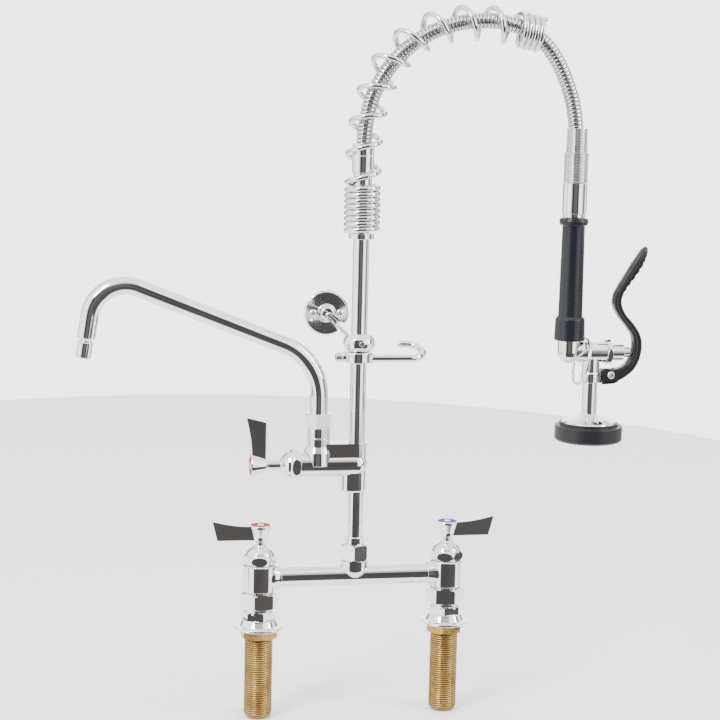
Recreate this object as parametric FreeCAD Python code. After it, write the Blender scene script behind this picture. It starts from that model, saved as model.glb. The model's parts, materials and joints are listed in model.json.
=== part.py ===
"""Deck-mount bridge pre-rinse faucet with an add-on swing spout, millimetres, +Z up.

The origin is on the deck surface, midway between the two inlet shanks. +X points to the viewer's
right, +Y to the wall behind the sink. Each separate piece is written to parts/NAME.step.
"""
import FreeCAD, Part
import math
import os

V = FreeCAD.Vector
UP, DOWN = (0, 0, 1), (0, 0, -1)
RIGHT, LEFT = (1, 0, 0), (-1, 0, 0)
BACK, FRONT = (0, 1, 0), (0, -1, 0)

# ---- driving dimensions -------------------------------------------------------------------------
INLET_SPACING = 203.2        # 8 in between the inlet centres
FIT = 0.05                   # radial clearance of a running fit
GAP = 0.3                    # space between faces that move past each other

SHANK_R, SHANK_BORE_R, SHANK_NECK_R = 15.0, 9.0, 12.0
SHANK_BOTTOM, SHANK_SHOULDER, SHANK_TOP, RELIEF_GROOVE = -95.0, 17.0, 28.0, (-12.5, -10.5)
LOCK_NUT_H, LOCK_NUT_AF = 10.0, 36.0
DECK_FLANGE_R, DECK_FLANGE_H, DECK_HEX_AF, DECK_HEX_Z = 25.8, 3.0, 30.7, (9.5, 19.5)
RECESS_R, RECESS_DEPTH, COLLAR_R = 21.4, 0.4, 14.8
UNION_AF, UNION_Z = 35.2, (22.5, 39.5)
TAIL_R, TAIL_FLANGE_R, TAIL_FLANGE_Z = 10.5, 11.9, (30.0, 33.0)
VALVE_R, VALVE_TOP = 17.7, 69.5
BRIDGE_R, BRIDGE_WALL, BRIDGE_Z = 11.1, 1.2, 55.0
CARTRIDGE_R, CARTRIDGE_LENGTH = 10.0, 19.0
BONNET_R, BONNET_AF, BONNET_BULGE, BONNET_H, DOME_R = 18.2, 32.0, 11.0, 21.0, 14.6
STEM_R = 5.0
HUB_BASE_R, HUB_TOP_R, HUB_LENGTH, HUB_START = 7.2, 11.4, 16.4, 26.0
INDEX_R = 10.3
BLADE_REACH, BLADE_THICK = 51.5, 4.6

RISER_R, RISER_WALL = 8.55, 1.4
HUB_R, HUB_BALL_Z, HUB_TOP_Z = 14.7, 64.0, 72.0
RISER_NUT_AF, RISER_NUT_Z, RISER_COLLAR_R, RISER_COLLAR_TOP = 27.0, (72.0, 89.7), 10.4, 97.3

ADDON_Z, ADDON_BARREL_R = 175.9, 13.7
ADDON_BOTTOM, ADDON_TOP, ADDON_WALL_R = 146.3, 199.3, 10.7
ADDON_FACE_X = -61.0
ADDON_HANDLE_SPREAD = 10.0   # the add-on stem stands this much further out than a deck stem
SPOUT_X, SPOUT_COLUMN_R, SPOUT_COLUMN_TOP = -41.5, 12.5, 216.0
SPOUT_NUT_AF, SPOUT_NUT_TOP = 27.0, 230.9
SPOUT_R, SPOUT_WALL, SPOUT_FOOT = 9.5, 1.2, 206.0
SPOUT_CORNERS = [(SPOUT_X, 289.0), (-273.7, 378.9)]
SPOUT_BENDS = [58.0, 36.0]
SPOUT_TIP_LEAN, SPOUT_TIP_Z = 8.5, 312.0
OUTLET_R, OUTLET_H, SPOUT_TIP_R = 8.0, 22.0, 6.6

HOOK_Z, HOOK_CLAMP_R = (284.6, 296.2), 15.0
HOOK_ROD_R, HOOK_REACH, HOOK_BEND_R, HOOK_TILT = 4.0, 56.0, 16.4, 20.0
BRACKET_Z, BRACKET_R = (296.6, 315.0), 17.0
WALL_FLANGE_R, WALL_FLANGE_T, WALL_Y, WALL_Z = 26.4, 4.0, 200.0, 315.0
WALL_SCREW_SPACING, WALL_SCREW_R = 32.0, 2.4

SEAT_Z, SEAT_R = (414.7, 421.0), 13.3
COIL_R, WIRE_R, CLOSED_PITCH, CLOSED_TURNS = 16.5, 2.9, 6.0, 8
RISER_TOP = 476.0
FERRULE_NECK_Z, FERRULE_Z, FERRULE_NECK_R, FERRULE_R = 471.0, (483.7, 513.7), 10.0, 11.5
HOSE_R, HOSE_BORE_R = 8.2, 6.3
HEAD_X = 231.0
# control points of the hose, (x, z), from the upper ferrule to the lower one
HOSE_ROUTE = [(0, 498), (0, 547), (25, 596), (62, 628), (106, 643), (150, 643.5), (185, 630.5),
              (210, 601), (HEAD_X, 547), (HEAD_X, 498)]
# outside of each open turn of the spring: (x, z) on its outer side, one per turn
OPEN_TURNS = [(-16.6, 487), (-15.8, 514), (-12.5, 544), (-4.5, 578), (13, 613), (42, 640),
              (79, 655), (117, 659.5), (148, 657)]
END_TURNS, END_START, END_PITCH, END_LEAN = 4, (166.0, 652.5), 6.0, 12.0

RELIEF_Z, RELIEF_R, RIB_PITCH, RIB_DEPTH = (476.6, 509.3, 534.6), (13.4, 11.6), 2.9, 0.9
SLEEVE_R, SLEEVE_BOTTOM, SLEEVE_NECK_R, SLEEVE_NECK_BOTTOM = 13.2, 444.2, 12.0, 439.9
GRIP_TOP, GRIP_BULGE_R, GRIP_BULGE_H = 439.4, 15.7, 7.5
GRIP_R, GRIP_COLLAR_R, GRIP_COLLAR_TOP, GRIP_BOTTOM = (12.1, 13.05), (15.9, 16.6), 334.1, 308.0
CORE_R, CORE_BORE_R = 9.0, 6.5
BARREL_Z, BARREL_R, ELBOW_R = 295.0, 11.4, 12.4
SPRAY_NUT_AF, SPRAY_NUT_X = 25.0, (40.5, 47.0)
SPRAY_BONNET_R, SPRAY_BONNET_END = 8.9, 60.8
PLUNGER_R, PLUNGER_END, PLUNGER_SHOULDER_R, SPRING_SEAT_X = 5.6, 69.2, 7.2, 31.5
TUBE_X, TUBE_R, TUBE_BOSS_R, TUBE_BOSS_Z = 25.5, 8.2, (10.2, 9.4), (262.0, 272.0)
DOME_Z, DOME_TOP_Z, SPRAY_DOME_R = 218.4, 227.0, 29.6
BUMPER_R, BUMPER_Z, BUMPER_STEP_R, BUMPER_STEP_Z = 36.6, (197.9, 214.9), 31.6, 218.8
FACE_R, FACE_T, SPRAY_HOLE_R = 27.0, 2.5, 0.9
PIVOT_X, PIVOT_Z, PIVOT_R = 46.3, 270.6, 2.5
LEVER_HALF_W, LUG_HALF_W, LUG_R, LEVER_EDGE_R = 7.0, 3.4, 7.0, 2.0
RING_R, RING_WIRE_R, RING_LEAN, RING_YAW = 25.0, 1.8, 11.5, -1.5
RING_CENTRE = (14.8, 285.3)

# outline of the squeeze lever beside the pivot, (x from the grip axis, z)
LEVER_OUTER = [(48, 260.3), (63, 267.2), (74.6, 277.5), (80.1, 290.5), (81.6, 302), (78.5, 316),
               (69.5, 328), (60.2, 338.5), (56.4, 351), (59.3, 360.5), (67.5, 371.7), (77.5, 386.5),
               (84.0, 404.5)]
LEVER_INNER = [(80.4, 410), (71.3, 397.4), (61.4, 381), (52, 365), (48.2, 356.5), (47.5, 349.5),
               (50.5, 339), (60.5, 326), (69.2, 314.5), (71.7, 305), (70.9, 296), (69, 289),
               (64.5, 282.3), (58, 278.4), (50.5, 276.8)]
LEVER_ROOT = [(40.5, 276.8), (37.2, 273.5), (37.2, 260.3)]


# ---- shape helpers ------------------------------------------------------------------------------
def rounded_path(points, radius):
    """Edges of a closed outline whose corners, away from the axis r = 0, are rounded."""
    count = len(points)
    edges, starts, ends = [], [], []
    for i in range(count):
        before, here, after = (V(*points[(i + k) % count]) for k in (-1, 0, 1))
        to_before, to_after = before - here, after - here
        turn = math.pi - to_before.getAngle(to_after)
        room = 0.42 * min(to_before.Length, to_after.Length)
        cut = min(radius * math.tan(turn / 2), room)
        if here.x < 1e-6 or turn < 0.1 or cut < 0.02:
            starts.append(here)
            ends.append(here)
            continue
        first = here + to_before.normalize() * cut
        last = here + to_after.normalize() * cut
        middle = (first + last) * 0.5
        real_radius = cut / math.tan(turn / 2)
        centre_gap = real_radius / math.cos(turn / 2)
        centre = here + (middle - here).normalize() * centre_gap
        crown = centre + (here - centre).normalize() * real_radius
        edges.append((i, Part.Arc(first, crown, last).toShape()))
        starts.append(first)
        ends.append(last)
    arcs = dict(edges)
    ordered = []
    for i in range(count):
        if i in arcs:
            ordered.append(arcs[i])
        following = (i + 1) % count
        if (starts[following] - ends[i]).Length > 1e-6:
            ordered.append(Part.makeLine(ends[i], starts[following]))
    return ordered


def placed(shape, at=(0, 0, 0), axis=UP):
    """Move a shape modelled round +Z so that its +Z points along axis, from the point at."""
    shape.Placement = FreeCAD.Placement(V(*at), FreeCAD.Rotation(V(0, 0, 1), V(*axis)))
    return shape


def turned(outline, at=(0, 0, 0), axis=UP, soft=0.5):
    """A lathe shape: outline is closed, (radius, height) points; soft rounds its corners."""
    wire = Part.Wire(rounded_path([(r, 0, z) for r, z in outline], soft))
    return placed(Part.Face(wire).revolve(V(0, 0, 0), V(0, 0, 1), 360), at, axis)


def rod(radius, length, at=(0, 0, 0), axis=UP):
    return Part.makeCylinder(radius, length, V(*at), V(*axis))


def ring(outer, inner, low, high, at=(0, 0, 0), axis=UP, soft=0.4):
    return turned([(inner, low), (outer, low), (outer, high), (inner, high)], at, axis, soft)


def prism(flats, low, high, at=(0, 0, 0), axis=UP, turn=0.0, sides=6):
    """A regular prism by its distance across flats; turn is the angle of one corner."""
    corner = flats / 2 / math.cos(math.pi / sides)
    angles = [math.radians(turn) + 2 * math.pi * k / sides for k in range(sides)]
    points = [V(corner * math.cos(a), corner * math.sin(a), low) for a in angles]
    face = Part.Face(Part.makePolygon(points + points[:1]))
    return placed(face.extrude(V(0, 0, high - low)), at, axis)


def hex_nut(flats, bore, low, high, at=(0, 0, 0), axis=UP, turn=0.0):
    """A hexagonal nut with both ends chamfered to a circle, as a turned blank is."""
    corner = flats / 2 / math.cos(math.pi / 6)
    blank = turned([(bore, low), (flats / 2 - 0.6, low), (corner, low + 1.9),
                    (corner, high - 1.9), (flats / 2 - 0.6, high), (bore, high)], at, axis, 0.3)
    return blank.common(prism(flats, low, high, at, axis, turn))


def torus_part(centre, normal, radius, tube):
    return Part.makeTorus(radius, tube, V(*centre), V(*normal))


def bent_path(points, radii):
    """Straight runs joined by tangent arcs, in the plane y = 0, through (x, z) points."""
    corners = [V(x, 0, z) for x, z in points]
    edges, here = [], corners[0]
    for before, corner, after, radius in zip(corners, corners[1:], corners[2:], radii):
        back, ahead = (before - corner).normalize(), (after - corner).normalize()
        half = (math.pi - back.getAngle(ahead)) / 2
        first, last = (corner + d * (radius * math.tan(half)) for d in (back, ahead))
        centre = corner + (back + ahead).normalize() * (radius / math.cos(half))
        crown = centre + (corner - centre).normalize() * radius
        edges.append(Part.LineSegment(here, first).toShape())
        edges.append(Part.Arc(first, crown, last).toShape())
        here = last
    edges.append(Part.LineSegment(here, corners[-1]).toShape())
    return Part.Wire(edges)


def swept(path, radius):
    """A round bar of this radius along a smooth wire."""
    start = path.OrderedEdges[0]
    tangent = start.tangentAt(start.FirstParameter)
    section = Part.Wire(Part.makeCircle(radius, path.OrderedVertexes[0].Point, tangent))
    return path.makePipeShell([section], True, True)


def pipe(path, outer, inner):
    return swept(path, outer).cut(swept(path, inner))


def limp_radii(points):
    """The largest tangent arc at each inner point: 0.45 of the shorter run, for half the turn."""
    radii = []
    for a, b, c in zip(points, points[1:], points[2:]):
        turn = abs(math.atan2(c[1] - b[1], c[0] - b[0]) - math.atan2(b[1] - a[1], b[0] - a[0]))
        run = min(math.dist(a, b), math.dist(b, c))
        radii.append(0.45 * run / math.tan(turn / 2))
    return radii


parts = {}
set_screws = []


# ---- the two deck valves ------------------------------------------------------------------------
def deck_valve(side, name, union_turn, flange_turn, bonnet_turn):
    """One inlet, from its shank to its bonnet. side is -1 for hot, on the left, 1 for cold."""
    x = side * INLET_SPACING / 2
    at = (x, 0, 0)
    inward = (-side, 0, 0)
    groove_low, groove_high = RELIEF_GROOVE
    parts[f"{name}_shank"] = turned(
        [(SHANK_BORE_R, SHANK_BOTTOM), (SHANK_R, SHANK_BOTTOM), (SHANK_R, groove_low),
         (SHANK_R - 0.8, groove_low), (SHANK_R - 0.8, groove_high), (SHANK_R, groove_high),
         (SHANK_R, SHANK_SHOULDER), (SHANK_NECK_R, SHANK_SHOULDER), (SHANK_NECK_R, SHANK_TOP),
         (SHANK_BORE_R, SHANK_TOP)], at, soft=0.8)

    hex_low, hex_high = DECK_HEX_Z
    bore = SHANK_R + FIT
    corner = DECK_HEX_AF / 2 / math.cos(math.pi / 6)
    flange = turned([(bore, RECESS_DEPTH), (RECESS_R, RECESS_DEPTH), (RECESS_R, 0),
                     (DECK_FLANGE_R, 0), (DECK_FLANGE_R, DECK_FLANGE_H),
                     (20.5, DECK_FLANGE_H + 0.6), (17.6, hex_low), (17.6, hex_low + 1),
                     (bore, hex_low + 1)], at, soft=0.9)
    flats = turned([(bore, 2), (corner - 2.2, 2), (corner, hex_low + 1), (corner, hex_high - 1.5),
                    (corner - 2, hex_high), (bore, hex_high)], at)
    flats = flats.common(prism(DECK_HEX_AF, 0, 30, at, turn=flange_turn))
    neck_bore = SHANK_NECK_R + 0.9
    seat = ring(16.0, neck_bore, SHANK_SHOULDER + FIT, hex_high - 0.6, at, soft=0.01)
    collar = ring(COLLAR_R, neck_bore, SHANK_SHOULDER + FIT, UNION_Z[0] - 0.2, at, soft=0.3)
    flange = flange.fuse(flats).fuse(seat).fuse(collar)
    parts[f"{name}_deck_flange"] = flange.removeSplitter()

    lip = TAIL_FLANGE_Z[1] + 0.6
    nut = hex_nut(UNION_AF, TAIL_R + FIT, UNION_Z[0], UNION_Z[1], at, turn=union_turn)
    thread = rod(SHANK_NECK_R + FIT, lip - UNION_Z[0], (x, 0, UNION_Z[0]))
    parts[f"{name}_union_nut"] = nut.cut(thread)

    body = turned([(0, UNION_Z[1]), (VALVE_R - 2.2, UNION_Z[1]), (VALVE_R, UNION_Z[1] + 2.2),
                   (VALVE_R, VALVE_TOP - 1), (VALVE_R - 1, VALVE_TOP), (0, VALVE_TOP)], at)
    tail = turned([(0, TAIL_FLANGE_Z[0]), (TAIL_FLANGE_R, TAIL_FLANGE_Z[0]),
                   (TAIL_FLANGE_R, TAIL_FLANGE_Z[1]), (TAIL_R, TAIL_FLANGE_Z[1]),
                   (TAIL_R, UNION_Z[1] + 1), (0, UNION_Z[1] + 1)], at)
    boss = turned([(0, 0), (14.2, 0), (14.2, VALVE_R - 2.5), (12.6, VALVE_R + 2),
                   (12.4, VALVE_R + 4.5), (0, VALVE_R + 4.5)], (x, 0, BRIDGE_Z), inward)
    body = body.fuse(tail).fuse(boss)
    seat = VALVE_TOP - CARTRIDGE_LENGTH
    hollow = rod(SHANK_BORE_R - 1.5, seat, at).fuse(
        rod(CARTRIDGE_R + FIT, CARTRIDGE_LENGTH + 1, (x, 0, seat)))
    port = rod(BRIDGE_R + FIT, 12, (x + inward[0] * (VALVE_R - 3), 0, BRIDGE_Z), inward)
    passage = rod(BRIDGE_R - BRIDGE_WALL, VALVE_R, (x, 0, BRIDGE_Z), inward)
    parts[f"{name}_valve_body"] = body.cut(hollow).cut(port).cut(passage).removeSplitter()
    parts[f"{name}_bonnet_nut"] = bonnet((x, 0, VALVE_TOP), UP, bonnet_turn)


def bonnet(at, axis, turn):
    """The domed bonnet nut that keeps the cartridge in: a bulged ring with six flats, and a dome."""
    bore = STEM_R + FIT
    low = BONNET_AF / 2
    bulge, rise = BONNET_BULGE, BONNET_H - BONNET_BULGE
    blank = turned([(bore, 0), (low - 0.3, 0), (BONNET_R - 0.7, 2.6), (BONNET_R, bulge / 2),
                    (BONNET_R - 0.7, bulge - 2.6), (DOME_R + 0.4, bulge),
                    (DOME_R - 0.8, bulge + 0.29 * rise), (DOME_R - 3.6, bulge + 0.6 * rise),
                    (DOME_R - 7.6, bulge + 0.86 * rise), (STEM_R + 1.0, BONNET_H),
                    (bore, BONNET_H)], at, axis, 2.2)
    return blank.common(prism(BONNET_AF, 0, BONNET_H, at, axis, turn))


def cartridge(at, axis):
    """A ceramic quarter-turn cartridge: its brass shell, with a square-ended socket for the stem."""
    shell = rod(CARTRIDGE_R, CARTRIDGE_LENGTH - 0.2, at, [-c for c in axis])
    return shell.cut(rod(STEM_R + FIT, CARTRIDGE_LENGTH - 8, at, [-c for c in axis]))


def stem(at, axis, end):
    """The stem that the handle turns; it reaches 10 mm down into its cartridge."""
    foot, neck = -10.0, end - 2
    return turned([(0, foot), (STEM_R, foot), (STEM_R, neck), (STEM_R - 1, neck),
                   (STEM_R - 1, end + 9), (0, end + 9)], at, axis, 0.3)


def blade_outline():
    """The handle's blade as (distance from the stem, height over the hub's base) points."""
    top = [V(7.5, 15.7, 0), V(21, 16.0, 0), V(32, 17.5, 0), V(41, 19.3, 0), V(BLADE_REACH - 1.2, 21.6, 0)]
    curve = Part.BSplineCurve()
    curve.interpolate(top)
    tip_low, root_low = V(BLADE_REACH - 6.0, -0.4, 0), V(5.0, -0.4, 0)
    nose = Part.Arc(top[-1], V(BLADE_REACH, 20.6, 0), V(BLADE_REACH - 0.3, 19.2, 0))
    heel = Part.Arc(V(BLADE_REACH - 5.0, 0.8, 0), V(BLADE_REACH - 5.6, -0.1, 0),
                    tip_low + V(-1.2, 0, 0))
    edges = [curve.toShape(), nose.toShape(),
             Part.makeLine(nose.EndPoint, heel.StartPoint), heel.toShape(),
             Part.makeLine(heel.EndPoint, root_low), Part.makeLine(root_low, top[0])]
    return Part.Wire(edges)


def lever_handle(at, axis, outward, name, end):
    """A handle with its ring and screw. It is modelled with its blade along +X, its hub up +Z."""
    base, top = end, end + HUB_LENGTH
    hub = turned([(0, base), (HUB_BASE_R, base), (HUB_BASE_R + 1.0, base + 4.0),
                  (HUB_TOP_R - 0.4, top - 3.0), (HUB_TOP_R, top - 1.2), (HUB_TOP_R - 0.5, top),
                  (0, top)], soft=0.6)
    blade = Part.Face(blade_outline()).extrude(V(0, 0, BLADE_THICK))
    blade.rotate(V(0, 0, 0), V(1, 0, 0), 90)
    blade.translate(V(0, BLADE_THICK / 2, base))
    long_edges = [e for e in blade.Edges
                  if abs(abs(e.CenterOfMass.y) - BLADE_THICK / 2) < 0.01 and e.CenterOfMass.x > 9]
    blade = blade.makeFillet(1.1, long_edges)
    socket = rod(STEM_R - 1, 10.2, (0, 0, base - 1))
    screw_hole = rod(2.4, HUB_LENGTH, (0, 0, base + 1))
    recess = rod(INDEX_R + 0.1, 3, (0, 0, top - 1.4))
    handle = hub.fuse(blade).cut(socket).cut(screw_hole).cut(recess).removeSplitter()
    index = turned([(4.6, top - 1.4), (INDEX_R, top - 1.4), (INDEX_R, top - 0.2),
                    (INDEX_R - 0.7, top + 0.1), (4.6, top + 0.1)], soft=0.3)
    screw = turned([(0, base + 9.4), (1.9, base + 9.4), (1.9, top - 1.4), (4.4, top - 1.4),
                    (4.4, top - 0.6), (3.0, top + 0.5), (0, top + 0.7)], soft=0.4)
    slot = Part.makeBox(7.0, 0.9, 1.0, V(-3.5, -0.45, top - 0.1))
    turn = FreeCAD.Rotation(V(*outward), V(*axis).cross(V(*outward)), V(*axis), "XYZ")
    for piece, shape in (("lever_handle", handle), ("index_ring", index),
                         ("handle_screw", screw.cut(slot))):
        shape.Placement = FreeCAD.Placement(V(*at), turn)
        parts[f"{name}_{piece}"] = shape
    parts[f"{name}_stem"] = stem(at, axis, end)


# ---- bridge, riser and wall bracket -------------------------------------------------------------
def bridge():
    length = INLET_SPACING - 2 * (VALVE_R - 3)
    start = (-length / 2, 0, BRIDGE_Z)
    tube = rod(BRIDGE_R, length, start, RIGHT).cut(
        rod(BRIDGE_R - BRIDGE_WALL, length, start, RIGHT))
    port_r = RISER_R - RISER_WALL
    parts["bridge_tube"] = tube.cut(rod(port_r, 20, (0, 0, BRIDGE_Z)))

    hub = turned([(0, HUB_BALL_Z), (HUB_R, HUB_BALL_Z), (HUB_R, HUB_TOP_Z), (0, HUB_TOP_Z)],
                 soft=0.01).fuse(Part.makeSphere(HUB_R, V(0, 0, HUB_BALL_Z), V(*UP), -90, 0, 360))
    spigot = rod(RISER_COLLAR_R - 0.1, 8, (0, 0, HUB_TOP_Z))
    saddle = rod(BRIDGE_R + FIT, 60, (-30, 0, BRIDGE_Z), RIGHT)
    hub = hub.fuse(spigot).cut(saddle).cut(rod(port_r, 40, (0, 0, BRIDGE_Z)))
    parts["center_hub"] = hub.cut(rod(40, 20, (0, 0, BRIDGE_Z - BRIDGE_R - 12))).removeSplitter()

    low, high = RISER_NUT_Z
    nut = hex_nut(RISER_NUT_AF, RISER_R + FIT, low + 0.1, high, turn=20)
    collar = ring(RISER_COLLAR_R, RISER_R + FIT, high - 3, RISER_COLLAR_TOP, soft=0.8)
    parts["riser_nut"] = nut.fuse(collar).cut(rod(RISER_COLLAR_R, 8.2, (0, 0, low)))


def riser_tube(name, low, high):
    parts[name] = ring(RISER_R, RISER_R - RISER_WALL, low, high, soft=0.3)


def wall_bracket():
    low, high = BRACKET_Z
    middle = (low + high) / 2
    half = (high - low) / 2
    clamp = turned([(RISER_R + FIT, -half), (BRACKET_R - 4.5, -half), (BRACKET_R - 0.8, -half * 0.5),
                    (BRACKET_R, 0), (BRACKET_R - 0.8, half * 0.5), (BRACKET_R - 4.5, half),
                    (RISER_R + FIT, half)], (0, 0, middle), soft=3.0)
    root, end = V(0, 12.5, middle), V(0, WALL_Y - WALL_FLANGE_T, WALL_Z)
    reach = (end - root).Length
    along = (end - root).normalize()
    arm = turned([(0, 3.2), (7.6, 3.2), (7.2, 10), (4.6, reach * 0.72), (4.2, reach * 0.8),
                  (4.2, reach - 6), (0, reach - 6)], root, along, 1.5)
    socket = turned([(0, 0), (8.6, 0), (8.6, 9), (7.4, 11), (0, 11)], root, along, 1.0)
    socket = socket.cut(turned([(0, 3.2), (7.6, 3.2), (7.3, 12), (0, 12)], root, along, 0.01))
    clamp = clamp.fuse(socket).cut(arm).cut(rod(RISER_R + FIT, 60, (0, 0, low - 20)))
    parts["bracket_clamp"] = clamp.removeSplitter()
    screw_at = (0, -BRACKET_R - 1.2, middle)
    set_screws.append(turned([(0, 0), (3.0, 0), (3.0, 8.0), (0, 8.0)], screw_at, BACK,
                             0.4).cut(prism(3.0, -1, 2.2, screw_at, BACK)))
    parts["bracket_clamp"] = parts["bracket_clamp"].cut(rod(3.05, 12, screw_at, BACK))

    face = (0, WALL_Y, WALL_Z)
    rim = WALL_FLANGE_T
    plate = turned([(0, 0), (WALL_FLANGE_R, 0), (WALL_FLANGE_R, rim - 1.6), (WALL_FLANGE_R - 2, rim),
                    (10.6, rim), (9.6, rim + 2.6), (7.4, rim + 3.4), (7.4, rim + 7.0),
                    (6.6, rim + 8.2), (0, rim + 8.2)], face, FRONT, 0.7)
    hole = rod(4.25, 40, (0, WALL_Y - 35, WALL_Z - 1.3), BACK)
    plate = plate.cut(arm.copy()).cut(hole.common(rod(30, 12, (0, WALL_Y - 15, WALL_Z), BACK)))
    screws = []
    for side in (-1, 1):
        at = (side * WALL_SCREW_SPACING / 2, WALL_Y, WALL_Z)
        plate = plate.cut(rod(WALL_SCREW_R + 1.2, 30, (at[0], WALL_Y - 20, WALL_Z), BACK))
        head = turned([(0, -24), (0.6, -24), (WALL_SCREW_R, -20), (WALL_SCREW_R, rim + 0.05),
                       (4.6, rim + 0.05), (4.3, rim + 1.6), (2.4, rim + 2.7), (0, rim + 2.9)],
                      at, FRONT, 0.5)
        cross = Part.makeBox(5.0, 3.0, 0.9, V(at[0] - 2.5, WALL_Y - rim - 4.3, WALL_Z - 0.45))
        upright = Part.makeBox(0.9, 3.0, 5.0, V(at[0] - 0.45, WALL_Y - rim - 4.3, WALL_Z - 2.5))
        screws.append(head.cut(cross).cut(upright))
    spare = rod(1.5, 30, (-WALL_SCREW_SPACING / 2 - 1.5, WALL_Y - 20, WALL_Z - 8), BACK)
    parts["wall_flange"] = plate.cut(spare)
    parts["wall_screws"] = Part.makeCompound(screws)
    parts["bracket_arm"] = arm.cut(rod(40, 30, (0, WALL_Y - 2.2, WALL_Z), BACK))


def hose_hook():
    """A clamp on the riser with a J-shaped rod, whose open end leans up towards the wall."""
    low, high = HOOK_Z
    middle = (low + high) / 2
    clamp = ring(HOOK_CLAMP_R, RISER_R + FIT, low, high, soft=1.4)
    ear = turned([(0, 0), (5.2, 0), (5.2, 18), (0, 18)], (0, 0, middle), LEFT, 0.8)
    clamp = clamp.fuse(ear).cut(rod(RISER_R + FIT, 60, (0, 0, low - 20)))
    bend = HOOK_BEND_R
    start, turn_at = V(9.5, 0, 0), V(HOOK_REACH, 0, 0)
    path = Part.Wire([
        Part.LineSegment(start, turn_at).toShape(),
        Part.Arc(turn_at, turn_at + V(bend, bend, 0), turn_at + V(0, 2 * bend, 0)).toShape(),
        Part.LineSegment(turn_at + V(0, 2 * bend, 0), turn_at + V(-4, 2 * bend, 0)).toShape()])
    j_rod = swept(path, HOOK_ROD_R)
    tip = turn_at + V(-4, 2 * bend, 0)
    j_rod = j_rod.fuse(Part.makeSphere(HOOK_ROD_R, tip))
    j_rod.rotate(V(0, 0, 0), V(1, 0, 0), HOOK_TILT)
    j_rod.translate(V(0, 0, middle - 1.5))
    bored = rod(3.0, 30, (-RISER_R, 0, middle), LEFT)
    riser_hole = rod(RISER_R + FIT, 60, (0, 0, low - 20))
    parts["hose_hook"] = clamp.fuse(j_rod).cut(bored).cut(riser_hole).removeSplitter()
    head = turned([(0, 0), (2.95, 0), (2.95, 10.1), (5.0, 10.1), (5.0, 16.0), (0, 16.0)],
                  (-RISER_R - 0.2, 0, middle), LEFT, 0.6)
    set_screws.append(head.cut(prism(4.0, 13.2, 19.0, (-RISER_R - 0.2, 0, middle), LEFT)))


# ---- add-on faucet and spout --------------------------------------------------------------------
def slab(x_low, x_high, radius, low, high):
    """An upright slab whose two ends, seen from above, are half circles."""
    width = x_high - x_low
    box = Part.makeBox(width, 2 * radius, high - low, V(x_low, -radius, low))
    ends = [rod(radius, high - low, (x, 0, low)) for x in (x_low, x_high)]
    return box.fuse(ends[0]).fuse(ends[1]).removeSplitter()


def addon_faucet():
    wall = ADDON_WALL_R
    barrel_end = -2.0
    barrel = rod(ADDON_BARREL_R, barrel_end - ADDON_FACE_X, (ADDON_FACE_X, 0, ADDON_Z), RIGHT)
    elbow = Part.makeSphere(ADDON_BARREL_R, V(barrel_end, 0, ADDON_Z))
    web = slab(SPOUT_X + 8, 0, wall, ADDON_Z, ADDON_TOP)
    boss = slab(-6, 0, wall, ADDON_BOTTOM, ADDON_TOP)
    boss_edges = [e for e in boss.Edges if e.CenterOfMass.z < ADDON_BOTTOM + 0.01]
    boss = boss.makeFillet(3.0, boss_edges)
    column = turned([(0, ADDON_Z), (SPOUT_COLUMN_R + 3.2, ADDON_Z), (SPOUT_COLUMN_R + 2.6, 190.0),
                     (SPOUT_COLUMN_R, 196.0), (SPOUT_COLUMN_R, 204.6), (SPOUT_COLUMN_R - 1, 205.2),
                     (SPOUT_COLUMN_R, 205.8), (SPOUT_COLUMN_R, SPOUT_COLUMN_TOP),
                     (0, SPOUT_COLUMN_TOP)], (SPOUT_X, 0, 0), soft=0.6)
    lip = rod(SPOUT_R + 1.4, 7, (SPOUT_X, 0, SPOUT_COLUMN_TOP))
    casting = barrel.fuse(boss).fuse(web).fuse(column).fuse(lip)
    clipped = elbow.common(Part.makeBox(40, 40, 40, V(-20, -20, ADDON_Z - 25)))
    casting = casting.fuse(clipped.common(slab(-6, 0, ADDON_BARREL_R, 150, 200)))
    socket_depth = 16.0
    hollow = [
        rod(RISER_R + FIT, socket_depth, (0, 0, ADDON_BOTTOM)),
        rod(RISER_R + FIT, socket_depth, (0, 0, ADDON_TOP - socket_depth)),
        rod(RISER_R - RISER_WALL, 60, (0, 0, ADDON_BOTTOM)),
        rod(CARTRIDGE_R + FIT, CARTRIDGE_LENGTH, (ADDON_FACE_X, 0, ADDON_Z), RIGHT),
        rod(5.0, 50, (-50, 0, ADDON_Z), RIGHT),
        rod(5.5, 40, (SPOUT_X, 0, ADDON_Z)),
        rod(SPOUT_R + FIT, 40, (SPOUT_X, 0, SPOUT_FOOT - 0.3))]
    for cutter in hollow:
        casting = casting.cut(cutter)
    parts["addon_body"] = casting.removeSplitter()
    parts["addon_bonnet_nut"] = bonnet((ADDON_FACE_X, 0, ADDON_Z), LEFT, 0)

    nut = hex_nut(SPOUT_NUT_AF, SPOUT_R + FIT, SPOUT_COLUMN_TOP + 0.1, SPOUT_NUT_TOP,
                  (SPOUT_X, 0, 0), turn=12)
    parts["spout_nut"] = nut.cut(rod(SPOUT_R + 1.45, 7.1, (SPOUT_X, 0, SPOUT_COLUMN_TOP)))


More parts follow.
